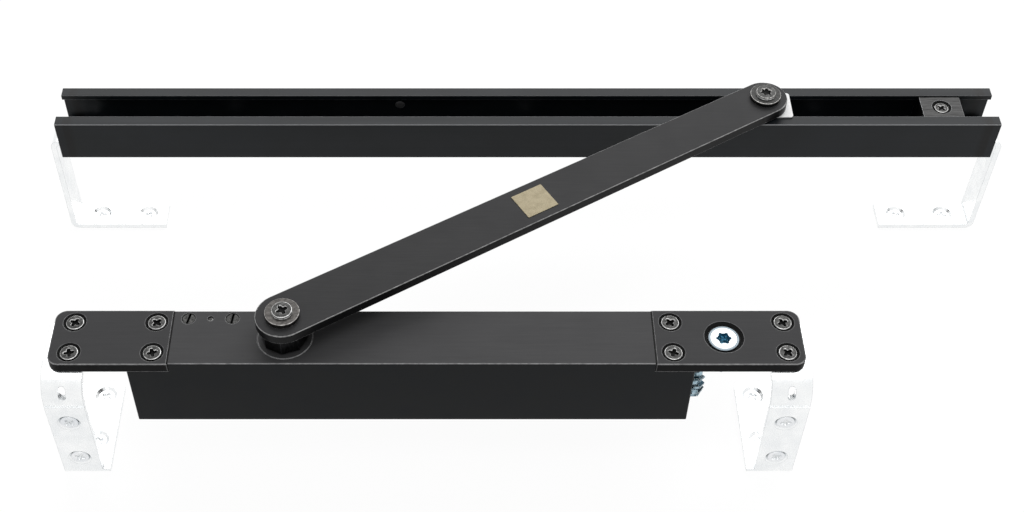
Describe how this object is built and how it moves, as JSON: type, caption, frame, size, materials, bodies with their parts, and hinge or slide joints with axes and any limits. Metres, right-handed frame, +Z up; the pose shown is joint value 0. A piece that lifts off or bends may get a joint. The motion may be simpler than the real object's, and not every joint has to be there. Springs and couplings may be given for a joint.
{
  "type": "concealed door closer",
  "caption": "Concealed slide-rail door closer: cam-driven casing with end plates, flat arm, guide rail with slider and stop, and bent brackets.",
  "frame": {"origin": "middle of the set's footprint, on the surface that its four feet stand on", "axes": "+X along the casing and the rail, away from the spindle end; +Y from the casing towards the rail; +Z up, out of the casing's top face"},
  "size_m": [0.514, 0.1888, 0.0976],
  "materials": {
    "black_casing_paint": "satin black powder coat on a cast casing",
    "black_arm_paint": "satin black powder coat on a forged steel arm",
    "black_rail_anodising": "black anodised extruded aluminium",
    "black_zinc_screws": "black zinc-plated steel, worn grey on the heads",
    "bright_zinc_strip": "bright zinc-plated bent strip",
    "bright_zinc_screws": "bright zinc-plated screws",
    "blue_zinc_gears": "blue-white zinc-plated gears",
    "hardened_steel": "ground and oiled steel",
    "spring_steel": "shot-peened spring wire",
    "rubber_seals": "black nitrile rubber",
    "bronze": "sintered bronze",
    "white_acetal": "white acetal, machined",
    "grey_stop": "dark anodised aluminium, brushed along its length",
    "gold_label": "plain gold foil square"
  },
  "bodies": {
    "closer": {"casing": "black_casing_paint", "left_end_plate": "black_casing_paint", "right_end_plate": "black_casing_paint", "plate_to_casing_screws": "black_zinc_screws", "plate_to_bracket_screws": "black_zinc_screws", "left_door_bracket": "bright_zinc_strip", "right_door_bracket": "bright_zinc_strip", "door_bracket_leg_screws": "bright_zinc_screws", "door_bracket_foot_screws": "bright_zinc_screws", "spindle_cap": "black_casing_paint", "spindle_seal": "rubber_seals", "upper_spindle_bearing": "hardened_steel", "lower_spindle_bearing": "hardened_steel", "closing_spring": "spring_steel", "damper_spring": "spring_steel", "left_end_plug": "hardened_steel", "left_plug_o_ring": "rubber_seals", "right_end_plug": "hardened_steel", "right_plug_o_ring": "rubber_seals", "thrust_washer": "hardened_steel", "adjuster_retainer": "blue_zinc_gears", "valve_seals": "rubber_seals", "gallery_plug": "black_zinc_screws"},
    "arm": {"camshaft": "hardened_steel", "main_arm": "black_arm_paint", "arm_washer": "black_zinc_screws", "arm_screw": "black_zinc_screws", "pivot_washer": "black_zinc_screws", "pivot_screw": "black_zinc_screws", "pivot_nut": "hardened_steel", "label_plate": "gold_label"},
    "spring_piston": {"spring_piston": "hardened_steel", "spring_piston_ring": "bronze", "spring_roller_pin": "hardened_steel"},
    "spring_roller": {"spring_roller": "hardened_steel"},
    "damper_piston": {"damper_piston": "hardened_steel", "damper_piston_ring": "bronze", "damper_roller_pin": "hardened_steel"},
    "damper_roller": {"damper_roller": "hardened_steel"},
    "spring_nut": {"spring_nut": "hardened_steel"},
    "setting_screw": {"adjusting_screw": "hardened_steel", "bevel_wheel": "blue_zinc_gears"},
    "adjuster": {"adjuster_pinion": "blue_zinc_gears"},
    "closing_valve": {"closing_valve": "black_zinc_screws"},
    "latching_valve": {"latching_valve": "black_zinc_screws"},
    "slider": {"slider_block": "white_acetal", "slider_bush": "bronze"},
    "rail": {"guide_rail": "black_rail_anodising", "left_frame_bracket": "bright_zinc_strip", "right_frame_bracket": "bright_zinc_strip", "frame_bracket_foot_screws": "bright_zinc_screws", "frame_bracket_bolts": "bright_zinc_screws", "frame_bracket_nuts": "bright_zinc_screws"},
    "stop": {"stop_block": "grey_stop", "stop_screw": "black_zinc_screws"}
  },
  "joints": [
    {"name": "arm_swing", "type": "hinge", "parent": "closer", "child": "arm", "pos_m": [-0.119, -0.06895, 0.077], "axis": [0, 0, 1], "range_deg": [-20, 90], "stiffness_Nm_per_rad": 2},
    {"name": "slider_swivel", "type": "hinge", "parent": "arm", "child": "slider", "pos_m": [0.12606, 0.08005, 0.087], "axis": [0, 0, 1], "range_deg": [-70, 2]},
    {"name": "rail_slide", "type": "slide", "parent": "slider", "child": "rail", "axis": [1, 0, 0], "range_m": [-0.0541, 0.333]},
    {"name": "stop_slide", "type": "slide", "parent": "rail", "child": "stop", "axis": [1, 0, 0], "range_m": [-0.015, 0.001]},
    {"name": "closing_valve_turn", "type": "hinge", "parent": "closer", "child": "closing_valve", "pos_m": [-0.1661, -0.05765, 0.077], "axis": [0, 0, 1], "range_deg": [-180, 360]},
    {"name": "latching_valve_turn", "type": "hinge", "parent": "closer", "child": "latching_valve", "pos_m": [-0.1451, -0.05765, 0.077], "axis": [0, 0, 1], "range_deg": [-180, 360]},
    {"name": "adjuster_turn", "type": "hinge", "parent": "closer", "child": "adjuster", "pos_m": [0.0894, -0.06895, 0.077], "axis": [0, 0, -1], "range_deg": [0, 1296]},
    {"name": "setting_screw_turn", "type": "hinge", "parent": "closer", "child": "setting_screw", "pos_m": [0.0748, -0.06895, 0.052], "axis": [1, 0, 0], "range_deg": [-1260, 0]},
    {"name": "spring_nut_slide", "type": "slide", "parent": "closer", "child": "spring_nut", "axis": [1, 0, 0], "range_m": [-0.0054, 0]},
    {"name": "spring_piston_slide", "type": "slide", "parent": "closer", "child": "spring_piston", "axis": [1, 0, 0], "range_m": [-0.0009, 0.0039], "deforming": ["closing_spring"]},
    {"name": "damper_piston_slide", "type": "slide", "parent": "closer", "child": "damper_piston", "axis": [1, 0, 0], "range_m": [-0.0009, 0.0039], "deforming": ["damper_spring"]},
    {"name": "spring_roller_spin", "type": "hinge", "parent": "spring_piston", "child": "spring_roller", "pos_m": [-0.10829, -0.06895, 0.052], "axis": [0, 0, 1], "continuous": true},
    {"name": "damper_roller_spin", "type": "hinge", "parent": "damper_piston", "child": "damper_roller", "pos_m": [-0.13463, -0.06895, 0.052], "axis": [0, 0, 1], "continuous": true}
  ],
  "couplings": [
    {"joint": "spring_piston_slide", "follows": "arm_swing", "m_per_rad": 0.0024},
    {"joint": "damper_piston_slide", "follows": "arm_swing", "m_per_rad": 0.0024},
    {"joint": "setting_screw_turn", "follows": "adjuster_turn", "ratio": -0.83333},
    {"joint": "spring_nut_slide", "follows": "adjuster_turn", "m_per_rad": -0.00019894}
  ]
}
